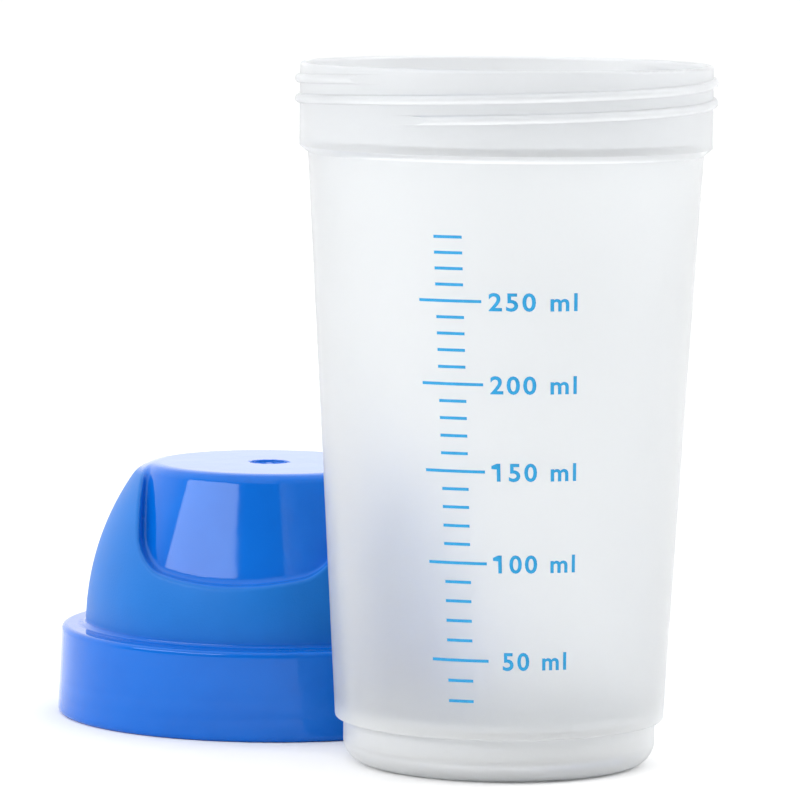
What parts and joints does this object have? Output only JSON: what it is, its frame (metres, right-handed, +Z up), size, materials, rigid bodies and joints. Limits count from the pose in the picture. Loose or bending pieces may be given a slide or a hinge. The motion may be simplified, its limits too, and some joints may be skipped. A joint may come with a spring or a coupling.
{
  "type": "protein shaker",
  "caption": "Tapered frosted shaker cup with a screw neck and printed volume scale, and its domed screw lid with seal ring and mixing sieve standing beside it.",
  "frame": {"origin": "centre of the cup's base, on the surface it stands on", "axes": "+Z up along the cup's axis, -Y towards the printed scale and the viewer, -X towards the side where the lid stands"},
  "size_m": [0.123, 0.1354, 0.128],
  "materials": {
    "frosted_pp": "frosted, translucent polypropylene",
    "blue_pp": "gloss, with a fine matt texture on the dome",
    "silicone": "soft translucent white silicone",
    "natural_pp": "natural translucent polypropylene",
    "scale_ink": "printed ink"
  },
  "bodies": {
    "cup": {"cup": "frosted_pp"},
    "seal_ring": {"lid_seal": "silicone"},
    "lid": {"lid": "blue_pp"},
    "sieve": {"mixing_sieve": "natural_pp"}
  },
  "joints": [
    {"name": "lid_lift", "type": "slide", "parent": "cup", "child": "seal_ring", "axis": [-0.2104, 0.2697, 0.9397], "range_m": [0, 0.15]},
    {"name": "lid_turn", "type": "hinge", "parent": "seal_ring", "child": "lid", "pos_m": [-0.044, 0.0564, 0.0137], "axis": [0, 0, 1], "continuous": true},
    {"name": "sieve_pull", "type": "slide", "parent": "lid", "child": "sieve", "axis": [0, 0, -1], "range_m": [0, 0.009]}
  ]
}
